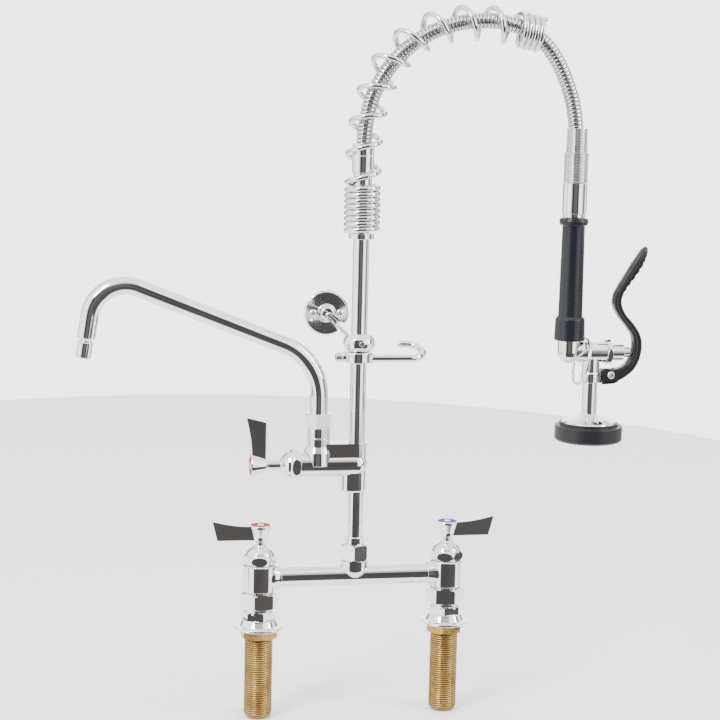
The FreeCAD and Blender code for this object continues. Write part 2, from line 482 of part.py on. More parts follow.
def swing_spout():
    """The tube turns in the column on two O-rings and narrows to a round outlet."""
    lean = math.radians(SPOUT_TIP_LEAN)
    corner_x, corner_z = SPOUT_CORNERS[-1]
    drop = (corner_z - SPOUT_TIP_Z) / math.cos(lean)
    tip = (corner_x - drop * math.sin(lean), SPOUT_TIP_Z)
    path = bent_path([(SPOUT_X, SPOUT_FOOT), *SPOUT_CORNERS, tip], SPOUT_BENDS)
    tube = pipe(path, SPOUT_R, SPOUT_R - SPOUT_WALL)
    down = (-math.sin(lean), 0, -math.cos(lean))
    at = (tip[0], 0, tip[1])
    taper = turned([(SPOUT_R - SPOUT_WALL, 0), (SPOUT_R, 0), (SPOUT_R - 0.4, 1.2),
                    (SPOUT_TIP_R, 4.5), (SPOUT_TIP_R - 1.2, 4.5), (SPOUT_R - 1.6, 1.2)], at, down, 0.3)
    grooves = [ring(SPOUT_R + 1, SPOUT_R - 0.7, z, z + 1.6, (SPOUT_X, 0, 0)) for z in (209, 213)]
    spout = tube.fuse(taper)
    for groove in grooves:
        spout = spout.cut(groove)
    parts["spout_tube"] = spout.removeSplitter()
    seals = [torus_part((SPOUT_X, 0, z + 0.8), UP, SPOUT_R - 0.05, 0.62) for z in (209, 213)]
    parts["spout_o_rings"] = Part.makeCompound(
        [seal.common(rod(SPOUT_R + 0.02, 30, (SPOUT_X, 0, 200))) for seal in seals])
    parts["spout_outlet"] = turned([(SPOUT_TIP_R - 2, 4.7), (OUTLET_R - 0.6, 4.7), (OUTLET_R, 5.6),
                                    (OUTLET_R, OUTLET_H - 1), (OUTLET_R - 0.8, OUTLET_H),
                                    (OUTLET_R - 2, OUTLET_H), (OUTLET_R - 2, OUTLET_H - 2),
                                    (SPOUT_TIP_R - 2, OUTLET_H - 3)], at, down, 0.3)
    screen = rod(OUTLET_R - 1.9, 1.2, [p + d * (OUTLET_H - 2.2) for p, d in zip(at, down)], down)
    parts["spout_outlet"] = parts["spout_outlet"].fuse(screen)


# ---- spring, hose and ferrules ------------------------------------------------------------------
def half_turn(start, end, side):
    """A half circle from start to end, its middle on the side +1 (back) or -1 (front) in y."""
    middle = (start + end) * 0.5 + V(0, side * (end - start).Length / 2, 0)
    return Part.Arc(start, middle, end).toShape()


def spring_sides():
    """Left (outer) and right (inner) end points of each half turn, from the seat to the free end."""
    low = SEAT_Z[1] + WIRE_R
    left = [V(-COIL_R, 0, low + CLOSED_PITCH * k) for k in range(CLOSED_TURNS)]
    right = [V(COIL_R, 0, low + CLOSED_PITCH * (k + 0.5)) for k in range(CLOSED_TURNS)]
    outer = [V(x, 0, z) for x, z in OPEN_TURNS]
    centre = V(75, 0, 555)
    inner = []
    following = outer[1:] + [V(END_START[0], 0, END_START[1])]
    for here, after in zip(outer, following):
        middle = (here + after) * 0.5
        inward = (centre - middle)
        flat = V(1, 0, 0) if middle.z < 540 else inward.normalize()
        inner.append(middle + flat * (2 * COIL_R))
    lean = math.radians(END_LEAN)
    along = V(math.cos(lean), 0, -math.sin(lean))
    across = V(-math.sin(lean), 0, -math.cos(lean))
    first = V(END_START[0], 0, END_START[1])
    end_left = [first + along * (END_PITCH * k) for k in range(END_TURNS)]
    end_right = [p + across * (2 * COIL_R) + along * (END_PITCH / 2) for p in end_left]
    return left + outer + end_left, right + inner + end_right


def hose_spring():
    left, right = spring_sides()
    edges = []
    for k, (a, b) in enumerate(zip(left, right)):
        edges.append(half_turn(a, b, -1))
        if k + 1 < len(left):
            edges.append(half_turn(b, left[k + 1], 1))
    parts["hose_spring"] = swept(Part.Wire(edges), WIRE_R)
    parts["spring_seat"] = ring(SEAT_R, RISER_R + FIT, SEAT_Z[0], SEAT_Z[1], soft=0.8)


def hose():
    path = bent_path(HOSE_ROUTE, limp_radii(HOSE_ROUTE))
    tube = pipe(path, HOSE_R, HOSE_BORE_R)
    section = math.pi * (HOSE_R ** 2 - HOSE_BORE_R ** 2)
    print("hose radii", [round(r, 1) for r in limp_radii(HOSE_ROUTE)])
    print("hose length", round(path.Length, 1), "volume ratio",
          round(tube.Volume / (section * path.Length), 4), "valid", tube.isValid())
    parts["hose"] = tube
    low, high = FERRULE_Z
    inside = HOSE_ROUTE[0][1] - 0.3
    parts["hose_upper_ferrule"] = turned(
        [(RISER_R + FIT, FERRULE_NECK_Z), (FERRULE_NECK_R, FERRULE_NECK_Z), (FERRULE_NECK_R, low),
         (FERRULE_R, low), (FERRULE_R, low + 17), (FERRULE_R - 0.4, low + 17.5),
         (FERRULE_R, low + 18), (FERRULE_R, high), (HOSE_R + 0.15, high), (HOSE_R + 0.15, inside),
         (HOSE_BORE_R, inside), (HOSE_BORE_R, RISER_TOP + 0.2), (RISER_R + FIT, RISER_TOP + 0.2)],
        soft=0.4)
    head = (HEAD_X, 0, 0)
    bottom, step, top = RELIEF_Z
    outline = [(HOSE_R + 0.8, bottom)]
    for low_z, high_z, radius in ((bottom, step, RELIEF_R[0]), (step, top, RELIEF_R[1])):
        ribs = round((high_z - low_z) / RIB_PITCH)
        pitch = (high_z - low_z) / ribs
        for k in range(ribs):
            z = low_z + k * pitch
            outline += [(radius - RIB_DEPTH, z + 0.15 * pitch), (radius, z + 0.42 * pitch),
                        (radius, z + 0.73 * pitch), (radius - RIB_DEPTH, z + pitch * 0.97)]
    outline += [(HOSE_R + 0.8, top)]
    parts["strain_relief"] = turned(outline, head, soft=0.5)
    socket = HOSE_ROUTE[-1][1] - 0.3
    parts["hose_lower_ferrule"] = turned(
        [(CORE_R - 1 + FIT, SLEEVE_NECK_BOTTOM), (SLEEVE_NECK_R, SLEEVE_NECK_BOTTOM),
         (SLEEVE_NECK_R, SLEEVE_BOTTOM), (SLEEVE_R, SLEEVE_BOTTOM), (SLEEVE_R, bottom - 0.05),
         (HOSE_R + 0.7, bottom - 0.05), (HOSE_R + 0.7, socket), (HOSE_BORE_R, socket),
         (HOSE_BORE_R, 456), (CORE_R - 1 + FIT, 456)], head, soft=0.4)


# ---- spray valve --------------------------------------------------------------------------------
def from_head(dx, z, y=0.0):
    return (HEAD_X + dx, y, z)


def spray_grip():
    head = (HEAD_X, 0, 0)
    core = CORE_R + FIT
    bulge_low = GRIP_TOP - GRIP_BULGE_H
    low_r, high_r = GRIP_COLLAR_R
    parts["grip"] = turned(
        [(core, GRIP_BOTTOM), (high_r, GRIP_BOTTOM), (low_r, GRIP_COLLAR_TOP - 3),
         (low_r - 2.4, GRIP_COLLAR_TOP), (GRIP_R[1], GRIP_COLLAR_TOP), (GRIP_R[0], bulge_low),
         (GRIP_BULGE_R - 1, bulge_low), (GRIP_BULGE_R, bulge_low + GRIP_BULGE_H / 2),
         (GRIP_BULGE_R - 1, GRIP_TOP), (core, GRIP_TOP)], head, soft=1.2)


def spray_body():
    upright = turned([(0, BARREL_Z), (ELBOW_R, BARREL_Z), (ELBOW_R, GRIP_BOTTOM - 0.2),
                      (0, GRIP_BOTTOM - 0.2)], (HEAD_X, 0, 0), soft=0.4)
    corner = Part.makeSphere(ELBOW_R, V(HEAD_X, 0, BARREL_Z))
    barrel_length = SPRAY_NUT_X[0] - 0.1
    barrel = rod(BARREL_R, barrel_length, from_head(0, BARREL_Z), RIGHT)
    (low_r, high_r), (foot, ledge) = TUBE_BOSS_R, TUBE_BOSS_Z
    boss = turned([(0, foot), (low_r, foot), (low_r, ledge), (high_r, ledge + 1.4),
                   (high_r, BARREL_Z), (0, BARREL_Z)], from_head(TUBE_X, 0), soft=0.8)
    lug_x = TUBE_X + 2
    lug = Part.makeBox(PIVOT_X - lug_x, 2 * LUG_HALF_W, 2 * LUG_R,
                       V(*from_head(lug_x, PIVOT_Z - LUG_R, -LUG_HALF_W)))
    lug = lug.fuse(rod(LUG_R, 2 * LUG_HALF_W, from_head(PIVOT_X, PIVOT_Z, -LUG_HALF_W), BACK))
    neck = turned([(0, BARREL_Z), (CORE_R, BARREL_Z), (CORE_R, GRIP_TOP + 0.1),
                   (CORE_R - 1, GRIP_TOP + 0.1), (CORE_R - 1, 455), (0, 455)], (HEAD_X, 0, 0))
    body = upright.fuse(corner).fuse(barrel).fuse(boss).fuse(lug).fuse(neck)
    for cutter in (rod(CORE_BORE_R, 200, from_head(0, BARREL_Z)),
                   rod(PLUNGER_SHOULDER_R + 0.4, 20, from_head(SPRING_SEAT_X, BARREL_Z), RIGHT),
                   rod(5.0, 40, from_head(0, BARREL_Z), RIGHT),
                   rod(TUBE_R + FIT, 20, from_head(TUBE_X, foot)),
                   rod(5.5, BARREL_Z - foot, from_head(TUBE_X, foot)),
                   rod(PIVOT_R, 40, from_head(PIVOT_X, PIVOT_Z, -20), BACK)):
        body = body.cut(cutter)
    parts["spray_body"] = body.removeSplitter()
    low, high = SPRAY_NUT_X
    bore = PLUNGER_R + FIT
    nut = hex_nut(SPRAY_NUT_AF, SPRAY_BONNET_R - 1, low, high, from_head(0, BARREL_Z), RIGHT, 12)
    parts["spray_bonnet"] = nut.fuse(turned(
        [(PLUNGER_SHOULDER_R + 0.4, low), (SPRAY_BONNET_R, low), (SPRAY_BONNET_R, SPRAY_BONNET_END),
         (bore, SPRAY_BONNET_END), (bore, SPRAY_BONNET_END - 7),
         (PLUNGER_SHOULDER_R + 0.4, SPRAY_BONNET_END - 7)], from_head(0, BARREL_Z), RIGHT, 0.7))
    shoulder = SPRAY_BONNET_END - 8
    parts["plunger"] = turned(
        [(0, 14), (2.4, 14), (2.4, shoulder - 3), (PLUNGER_SHOULDER_R, shoulder - 3),
         (PLUNGER_SHOULDER_R, shoulder), (PLUNGER_R, shoulder), (PLUNGER_R, PLUNGER_END - 1.5),
         (PLUNGER_R - 1.6, PLUNGER_END), (0, PLUNGER_END)], from_head(0, BARREL_Z), RIGHT, 0.6)
    parts["plunger_spring"] = ring(6.4, 5.2, SPRING_SEAT_X, shoulder - 3, from_head(0, BARREL_Z), RIGHT, 0.2)
    face = LEVER_HALF_W + GAP
    head = turned([(0, -face - 2.3), (3.0, -face - 2.3), (4.1, -face - 1.3), (4.1, -face),
                   (PIVOT_R, -face), (PIVOT_R, face), (3.8, face), (3.8, face + 1.9), (0, face + 1.9)],
                  from_head(PIVOT_X, PIVOT_Z), BACK, 0.4)
    key = prism(3.2, -face - 4, -face - 0.7, from_head(PIVOT_X, PIVOT_Z), BACK)
    parts["lever_screw"] = head.cut(key)


def spray_outlet():
    at = from_head(TUBE_X, 0)
    low = DOME_TOP_Z - 4
    parts["outlet_tube"] = ring(TUBE_R, TUBE_R - 1.4, low, TUBE_BOSS_Z[0] + 19, at, soft=0.3)
    dome_edge = SPRAY_DOME_R
    parts["spray_dome"] = turned(
        [(TUBE_R + 0.02, low), (TUBE_R + 0.02, DOME_TOP_Z + 1.2), (TUBE_R + 2.2, DOME_TOP_Z + 0.6),
         (TUBE_R + 7, DOME_TOP_Z - 1.6), (dome_edge - 7, DOME_Z + 4.2), (dome_edge - 1, DOME_Z + 1.2),
         (dome_edge, DOME_Z - 0.4), (dome_edge, BUMPER_Z[0] + 6), (dome_edge - 2, BUMPER_Z[0] + 6),
         (dome_edge - 2, DOME_Z - 0.6), (TUBE_R + 6, low)], at, soft=1.0)
    inner = dome_edge + 0.05
    bottom, top = BUMPER_Z
    parts["spray_bumper"] = turned(
        [(FACE_R + 0.3, bottom), (BUMPER_R - 2.4, bottom), (BUMPER_R, bottom + 2.4),
         (BUMPER_R, top), (BUMPER_STEP_R, top + 0.2), (BUMPER_STEP_R, BUMPER_STEP_Z - 0.4),
         (inner, BUMPER_STEP_Z - 0.4), (inner, bottom + 5.6), (FACE_R + 0.3, bottom + 5.6)],
        at, soft=0.8)
    face_z = bottom + 1.5
    plate = turned([(0, face_z), (FACE_R, face_z), (FACE_R, face_z + FACE_T), (0, face_z + FACE_T)],
                   at, soft=0.4)
    for count, radius in ((1, 0.0), (6, 7.0), (12, 14.0), (18, 21.0)):
        for k in range(count):
            angle = 2 * math.pi * k / count
            spot = (at[0] + radius * math.cos(angle), radius * math.sin(angle), face_z - 1)
            plate = plate.cut(rod(SPRAY_HOLE_R, FACE_T + 2, spot))
    parts["spray_face"] = plate


def squeeze_lever():
    """An S-shaped lever, forked at its root so that the body's lug fits between its cheeks."""
    outer, inner = Part.BSplineCurve(), Part.BSplineCurve()
    outer.interpolate([V(*from_head(x, z)) for x, z in LEVER_OUTER])
    inner.interpolate([V(*from_head(x, z)) for x, z in LEVER_INNER])
    tip = Part.Arc(outer.EndPoint, V(*from_head(83.8, 409.6)), inner.StartPoint)
    corners = [inner.EndPoint] + [V(*from_head(x, z)) for x, z in LEVER_ROOT] + [outer.StartPoint]
    edges = [outer.toShape(), tip.toShape(), inner.toShape()]
    edges += [Part.makeLine(a, b) for a, b in zip(corners, corners[1:])]
    blank = Part.Face(Part.Wire(edges))
    blank.translate(V(0, -LEVER_HALF_W, 0))
    lever = blank.extrude(V(0, 2 * LEVER_HALF_W, 0))
    side_edges = [e for e in lever.Edges if abs(abs(e.CenterOfMass.y) - LEVER_HALF_W) < 0.01]
    long_edges = [e for e in side_edges if e.Length > 60]
    lever = lever.makeFillet(LEVER_EDGE_R, long_edges)
    slot_half = LUG_HALF_W + GAP
    slot = Part.makeBox(PIVOT_X + LUG_R + 1.2 - 30, 2 * slot_half, 40, V(*from_head(30, 250, -slot_half)))
    bore = rod(PIVOT_R + FIT, 40, from_head(PIVOT_X, PIVOT_Z, -20), BACK)
    parts["squeeze_lever"] = lever.cut(slot).cut(bore)


def hold_ring():
    """A loose wire ring round the spray body's barrel; it can be hooked over the squeezed lever."""
    x, z = RING_CENTRE
    lean, yaw = math.radians(RING_LEAN), math.radians(RING_YAW)
    normal = (math.cos(lean) * math.cos(yaw), math.cos(lean) * math.sin(yaw), -math.sin(lean))
    parts["hold_ring"] = torus_part(from_head(x, z), normal, RING_R, RING_WIRE_R)


# ---- assembly -----------------------------------------------------------------------------------
half_spacing = INLET_SPACING / 2
deck_valve(-1, "hot", 7.8, 37.8, 50.5)
deck_valve(1, "cold", 47.6, 15.0, 40.4)
valve_seats = [((-half_spacing, 0, VALVE_TOP), UP), ((half_spacing, 0, VALVE_TOP), UP),
               ((ADDON_FACE_X, 0, ADDON_Z), LEFT)]
lever_handle(*valve_seats[0], LEFT, "hot", HUB_START)
lever_handle(*valve_seats[1], RIGHT, "cold", HUB_START)
lever_handle(*valve_seats[2], UP, "addon", HUB_START + ADDON_HANDLE_SPREAD)
parts["valve_cartridges"] = Part.makeCompound([cartridge(at, axis) for at, axis in valve_seats])

both_sides = [(side * half_spacing, 0, 0) for side in (-1, 1)]
parts["lock_nuts"] = Part.makeCompound(
    [hex_nut(LOCK_NUT_AF, SHANK_R + FIT, -LOCK_NUT_H - 0.1, -0.1, at, turn=turn)
     for at, turn in zip(both_sides, (32, 12))])
parts["union_washers"] = Part.makeCompound(
    [ring(SHANK_NECK_R - 0.4, SHANK_BORE_R, SHANK_TOP + 0.05, TAIL_FLANGE_Z[0] - 0.05, at, soft=0.2)
     for at in both_sides])

bridge()
riser_tube("lower_riser", HUB_TOP_Z + 8.2, ADDON_BOTTOM + 15.8)
riser_tube("upper_riser", ADDON_TOP - 15.8, RISER_TOP)
addon_faucet()
swing_spout()
hose_hook()
wall_bracket()
parts["riser_set_screws"] = Part.makeCompound(set_screws)
hose_spring()
hose()
spray_grip()
spray_body()
spray_outlet()
squeeze_lever()
hold_ring()

os.makedirs("parts", exist_ok=True)
for name, shape in parts.items():
    if not shape.isValid():
        print("not valid:", name)
    shape.exportStep(f"parts/{name}.step")
print(len(parts), "nodes")
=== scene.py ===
"""Looks of the pre-rinse faucet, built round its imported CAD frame, in metres. +Y is to the wall."""
import json
import math

import bmesh
import bpy
from mathutils import Matrix, Vector


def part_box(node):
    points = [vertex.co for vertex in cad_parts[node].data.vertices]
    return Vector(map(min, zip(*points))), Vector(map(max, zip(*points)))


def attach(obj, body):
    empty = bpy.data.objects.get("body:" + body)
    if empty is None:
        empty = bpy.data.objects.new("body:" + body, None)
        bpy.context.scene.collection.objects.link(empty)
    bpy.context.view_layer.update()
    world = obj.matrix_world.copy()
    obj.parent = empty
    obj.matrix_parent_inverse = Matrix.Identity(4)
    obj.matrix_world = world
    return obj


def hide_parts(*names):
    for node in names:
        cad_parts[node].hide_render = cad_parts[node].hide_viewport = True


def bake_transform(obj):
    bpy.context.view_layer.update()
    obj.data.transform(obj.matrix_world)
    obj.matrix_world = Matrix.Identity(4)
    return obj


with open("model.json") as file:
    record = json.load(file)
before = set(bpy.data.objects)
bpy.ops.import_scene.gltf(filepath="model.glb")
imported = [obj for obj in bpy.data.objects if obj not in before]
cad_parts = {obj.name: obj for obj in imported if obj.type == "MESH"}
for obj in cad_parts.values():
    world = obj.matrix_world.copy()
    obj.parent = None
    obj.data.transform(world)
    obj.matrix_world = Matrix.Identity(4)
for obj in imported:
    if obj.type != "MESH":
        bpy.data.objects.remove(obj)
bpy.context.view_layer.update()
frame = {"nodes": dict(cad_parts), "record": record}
NODES = frame["nodes"]


# ---- camera -------------------------------------------------------------------------------------
CAMERA_AT = (-0.3633, -1.8074, 0.5388)
CAMERA_YAW, CAMERA_PITCH, CAMERA_ROLL = (math.radians(a) for a in (11.41, 7.77, 1.34))
CAMERA_LENS, SENSOR_WIDTH, CAMERA_REACH = 88.25, 36, 50


def add_camera():
    """The camera looks towards +Y, turned by the yaw to +X and by the pitch downwards."""
    yaw, pitch, roll = CAMERA_YAW, CAMERA_PITCH, CAMERA_ROLL
    flat = math.cos(pitch)
    ahead = Vector((math.sin(yaw) * flat, math.cos(yaw) * flat, -math.sin(pitch)))
    level = Vector((math.cos(yaw), -math.sin(yaw), 0))
    upright = level.cross(ahead)
    right = math.cos(roll) * level + math.sin(roll) * upright
    up = -math.sin(roll) * level + math.cos(roll) * upright
    data = bpy.data.cameras.new("camera")
    data.lens = CAMERA_LENS
    data.sensor_width = SENSOR_WIDTH
    data.clip_end = CAMERA_REACH
    camera = bpy.data.objects.new("camera", data)
    bpy.context.scene.collection.objects.link(camera)
    turn = Matrix((right, up, -ahead)).transposed().to_4x4()
    camera.matrix_world = Matrix.Translation(CAMERA_AT) @ turn
    bpy.context.scene.camera = camera


add_camera()


# ---- routes -------------------------------------------------------------------------------------
HEAD_X = 0.231                        # the axis of the hanging grip
HOSE_ROUTE = [(0, 0.498), (0, 0.547), (0.025, 0.596), (0.062, 0.628), (0.106, 0.643),
              (0.150, 0.6435), (0.185, 0.6305), (0.210, 0.601), (HEAD_X, 0.547), (HEAD_X, 0.498)]
HOSE_LENGTH, HOSE_R = 0.4222, 0.0082
SPRING_ROUTE = [(0, 0.4239), (0, 0.455), (0, 0.487), (0.0005, 0.514), (0.004, 0.543),
                (0.0125, 0.574), (0.028, 0.602), (0.053, 0.625), (0.083, 0.6375), (0.117, 0.6415),
                (0.145, 0.6395), (0.1635, 0.6355), (0.188, 0.6305)]


def spline_points(name, route, step):
    """Evenly spaced points on the smooth line controlled by the route, and the line's length."""
    curve = bpy.data.curves.new(name, "CURVE")
    curve.dimensions = "3D"
    curve.resolution_u = 32
    spline = curve.splines.new("NURBS")
    spline.points.add(len(route) - 1)
    for point, (x, z) in zip(spline.points, route):
        point.co = (x, 0, z, 1)
    spline.order_u = 3
    spline.use_endpoint_u = True
    line = bpy.data.objects.new(name, curve)
    bpy.context.scene.collection.objects.link(line)
    mesh = bpy.data.meshes.new_from_object(line)
    raw = [v.co.copy() for v in mesh.vertices]
    bpy.data.objects.remove(line)
    walked = [0.0]
    for a, b in zip(raw, raw[1:]):
        walked.append(walked[-1] + (b - a).length)
    count = max(2, round(walked[-1] / step))
    points, k = [], 0
    for i in range(count + 1):
        target = walked[-1] * i / count
        while k < len(walked) - 2 and walked[k + 1] < target:
            k += 1
        share = (target - walked[k]) / max(walked[k + 1] - walked[k], 1e-9)
        points.append(raw[k].lerp(raw[k + 1], min(1.0, share)))
    return points, walked[-1]


# ---- mesh helpers -------------------------------------------------------------------------------
def mesh_object(name, vertices, faces):
    mesh = bpy.data.meshes.new(name)
    mesh.from_pydata([tuple(v) for v in vertices], [], faces)
    mesh.update()
    mesh.shade_smooth()
    piece = bpy.data.objects.new(name, mesh)
    bpy.context.scene.collection.objects.link(piece)
    return piece


def tube_mesh(name, centres, radii, sides):
    """A closed tube through the centres, each ring with its own radius, turned with the path."""
    vertices, faces = [], []
    tangents = []
    for k in range(len(centres)):
        before, after = centres[max(k - 1, 0)], centres[min(k + 1, len(centres) - 1)]
        tangents.append((after - before).normalized())
    side = Vector((0, 1, 0))
    if abs(tangents[0].dot(side)) > 0.9:
        side = Vector((1, 0, 0))
    for k, (centre, radius) in enumerate(zip(centres, radii)):
        side = (side - tangents[k] * side.dot(tangents[k])).normalized()
        other = tangents[k].cross(side)
        for i in range(sides):
            angle = 2 * math.pi * i / sides
            vertices.append(centre + radius * (math.cos(angle) * side + math.sin(angle) * other))
    for k in range(len(centres) - 1):
        for i in range(sides):
            j = (i + 1) % sides
            faces.append((k * sides + i, k * sides + j, (k + 1) * sides + j, (k + 1) * sides + i))
    faces.append(tuple(reversed(range(sides))))
    faces.append(tuple((len(centres) - 1) * sides + i for i in range(sides)))
    return mesh_object(name, vertices, faces)


# ---- materials ----------------------------------------------------------------------------------
def new_material(name, colour, metallic, roughness, **sockets):
    material = bpy.data.materials.new(name)
    material.use_nodes = True
    shader = material.node_tree.nodes["Principled BSDF"]
    shader.inputs["Base Color"].default_value = (*colour, 1)
    shader.inputs["Metallic"].default_value = metallic
    shader.inputs["Roughness"].default_value = roughness
    for socket, value in sockets.items():
        shader.inputs[socket.replace("_", " ")].default_value = value
    return material, material.node_tree, shader


def noise(tree, scale, detail=3.0, stretch=None):
    """Noise in object space, stretched along the axes if stretch is given."""
    place = tree.nodes.new("ShaderNodeTexCoord")
    source = place.outputs["Object"]
    if stretch:
        mapping = tree.nodes.new("ShaderNodeMapping")
        mapping.inputs["Scale"].default_value = stretch
        tree.links.new(source, mapping.inputs["Vector"])
        source = mapping.outputs["Vector"]
    texture = tree.nodes.new("ShaderNodeTexNoise")
    texture.inputs["Scale"].default_value = scale
    texture.inputs["Detail"].default_value = detail
    tree.links.new(source, texture.inputs["Vector"])
    return texture.outputs["Fac"]


NOISE_START, NOISE_END = 0.3, 0.7     # the range of the noise that ramp and tint spread out


def ramp(tree, source, low, high, start=NOISE_START, end=NOISE_END):
    """Maps values from start to end to the range from low to high."""
    node = tree.nodes.new("ShaderNodeMapRange")
    node.inputs["From Min"].default_value = start
    node.inputs["From Max"].default_value = end
    node.inputs["To Min"].default_value = low
    node.inputs["To Max"].default_value = high
    tree.links.new(source, node.inputs["Value"])
    return node.outputs["Result"]


def bump(tree, shader, source, strength, distance):
    node = tree.nodes.new("ShaderNodeBump")
    node.inputs["Strength"].default_value = strength
    node.inputs["Distance"].default_value = distance
    tree.links.new(source, node.inputs["Height"])
    tree.links.new(node.outputs["Normal"], shader.inputs["Normal"])


def tint(tree, shader, source, dark, light):
    node = tree.nodes.new("ShaderNodeValToRGB")
    node.color_ramp.elements[0].position = NOISE_START
    node.color_ramp.elements[0].color = (*dark, 1)
    node.color_ramp.elements[1].position = NOISE_END
    node.color_ramp.elements[1].color = (*light, 1)
    tree.links.new(source, node.inputs["Fac"])
    tree.links.new(node.outputs["Color"], shader.inputs["Base Color"])


def mark_grooves(piece, depths):
    """Stores how deep in a groove each vertex lies, from 0 to 1, for paint_groove_shade."""
    layer = piece.data.attributes.new("groove", "FLOAT", "POINT")
    layer.data.foreach_set("value", depths)


def paint_groove_shade(tree, shader, groove_shade_colour):
    """Painted shade: mixes the base colour towards dark where the mesh's groove value is high."""
    colour = shader.inputs["Base Color"].links[0].from_socket
    groove = tree.nodes.new("ShaderNodeAttribute")
    groove.attribute_name = "groove"
    node = tree.nodes.new("ShaderNodeMix")
    node.data_type = "RGBA"
    node.inputs["B"].default_value = (*groove_shade_colour, 1)
    tree.links.new(groove.outputs["Fac"], node.inputs["Factor"])
    tree.links.new(colour, node.inputs["A"])
    tree.links.new(node.outputs["Result"], shader.inputs["Base Color"])


# dark colours painted into the grooves of steel and of brass, as the shade that falls in them
STEEL_GROOVE_SHADE, BRASS_GROOVE_SHADE = (0.03, 0.03, 0.035), (0.045, 0.022, 0.006)
GRAIN_HEIGHT, WAVE_HEIGHT = 0.0001, 0.0002


def chrome(name="chrome", low=0.035, high=0.09, wave=0.12, shade=1.0, painted_groove_shade=False):
    """Bright chrome plate: a faint polishing haze and the slight waviness of a buffed surface."""
    material, tree, shader = new_material(name, (0.80, 0.81, 0.825), 1.0, 0.05)
    tree.links.new(ramp(tree, noise(tree, 60), low, high), shader.inputs["Roughness"])
    dull, bright = (0.76, 0.77, 0.79), (0.84, 0.845, 0.855)
    tint(tree, shader, noise(tree, 25), [shade * c for c in dull], [shade * c for c in bright])
    bump(tree, shader, noise(tree, 90, 1.0), wave, WAVE_HEIGHT)
    # painted shade: the base colour darkens in the mesh's grooves
    if painted_groove_shade:
        paint_groove_shade(tree, shader, STEEL_GROOVE_SHADE)
    return material


def brushed(name, colour, low, high, along):
    """Drawn or turned steel; along gives how finely the noise varies on each axis."""
    material, tree, shader = new_material(name, colour, 1.0, 0.25)
    lines = noise(tree, 1.0, 2.0, along)
    tree.links.new(ramp(tree, lines, low, high), shader.inputs["Roughness"])
    bump(tree, shader, lines, 0.15, GRAIN_HEIGHT)
    return material


def brass(name, painted_groove_shade=False):
    """Bare machined brass: turning marks, and a slightly uneven tarnish."""
    material, tree, shader = new_material(name, (0.62, 0.44, 0.17), 1.0, 0.25)
    tint(tree, shader, noise(tree, 55, 4.0), (0.30, 0.17, 0.05), (0.54, 0.36, 0.13))
    tree.links.new(ramp(tree, noise(tree, 120), 0.18, 0.36), shader.inputs["Roughness"])
    bump(tree, shader, noise(tree, 1.0, 2.0, (120, 120, 2500)), 0.12, GRAIN_HEIGHT)
    # painted shade: the base colour darkens in the mesh's grooves
    if painted_groove_shade:
        paint_groove_shade(tree, shader, BRASS_GROOVE_SHADE)
    return material


def rubber(name, colour, low, high, coat=0.0):
    """Black moulded rubber or plastic with a fine grain and slightly uneven sheen."""
    material, tree, shader = new_material(name, colour, 0.0, 0.4, Specular_IOR_Level=0.3,
                                          Coat_Weight=coat)
    shader.inputs["Coat Roughness"].default_value = 0.12
    tree.links.new(ramp(tree, noise(tree, 45), low, high), shader.inputs["Roughness"])
    bump(tree, shader, noise(tree, 900, 2.0), 0.08, GRAIN_HEIGHT)
    return material


def ring_plastic(name, dark, light):
    """Coloured plastic of an index ring, slightly uneven in colour."""
    material, tree, shader = new_material(name, light, 0.0, 0.55, Specular_IOR_Level=0.08)
    tint(tree, shader, noise(tree, 180), dark, light)
    bump(tree, shader, noise(tree, 700, 1.0), 0.05, GRAIN_HEIGHT)
    return material


MATERIALS = {
    "chrome_brass": chrome(),
    # the shanks' brass and the hose's steel get shade painted into their grooves
    "shank_brass": brass("shank_brass", painted_groove_shade=True),
    "nut_brass": brass("nut_brass"),
    "cartridge_brass": brass("cartridge_brass"),
    "washer_rubber": rubber("washer_rubber", (0.02, 0.02, 0.02), 0.5, 0.7),
    "stem_steel": brushed("stem_steel", (0.72, 0.72, 0.73), 0.12, 0.25, (200, 200, 900)),
    "screw_steel": brushed("screw_steel", (0.70, 0.70, 0.71), 0.16, 0.3, (700, 700, 700)),
    "steel_wire": chrome("steel_wire", 0.08, 0.16, 0.05),
    "spring_steel": chrome("spring_steel", 0.05, 0.12, 0.06, 0.85),
    "braided_steel": chrome("braided_steel", 0.10, 0.20, 0.05, 0.72, painted_groove_shade=True),
    "hot_ring": ring_plastic("hot_ring", (0.26, 0.003, 0.006), (0.38, 0.006, 0.012)),
    "addon_ring": ring_plastic("addon_ring", (0.28, 0.004, 0.014), (0.40, 0.010, 0.026)),
    "cold_ring": ring_plastic("cold_ring", (0.003, 0.018, 0.20), (0.006, 0.035, 0.30)),
    "grip_rubber": rubber("grip_rubber", (0.012, 0.013, 0.018), 0.24, 0.36),
    "relief_steel": chrome("relief_steel", 0.10, 0.2, 0.1, 0.72),
    "bumper_rubber": rubber("bumper_rubber", (0.013, 0.013, 0.016), 0.34, 0.48),
    "lever_plastic": rubber("lever_plastic", (0.010, 0.010, 0.013), 0.24, 0.36, coat=0.15),
    "spray_face_steel": brushed("spray_face_steel", (0.66, 0.66, 0.67), 0.2, 0.34, (500, 500, 500)),
}


def dress(piece, slot):
    piece.data.materials.clear()
    piece.data.materials.append(MATERIALS[slot])


def dress_cad_nodes():
    """Every CAD node shows its own slot's finish."""
    slots = {s["node"]: s["material_slot"] for s in frame["record"]["subparts"]}
    for name, node in NODES.items():
        node.data.materials.clear()
        node.data.materials.append(MATERIALS[slots[name]])


# ---- hose and spring ----------------------------------------------------------------------------
RIDGE_PITCH, RINGS_PER_RIDGE, RIDGE_DEPTH, RIDGE_FULLNESS, HOSE_SIDES = 0.0041, 10, 0.0011, 1.9, 28


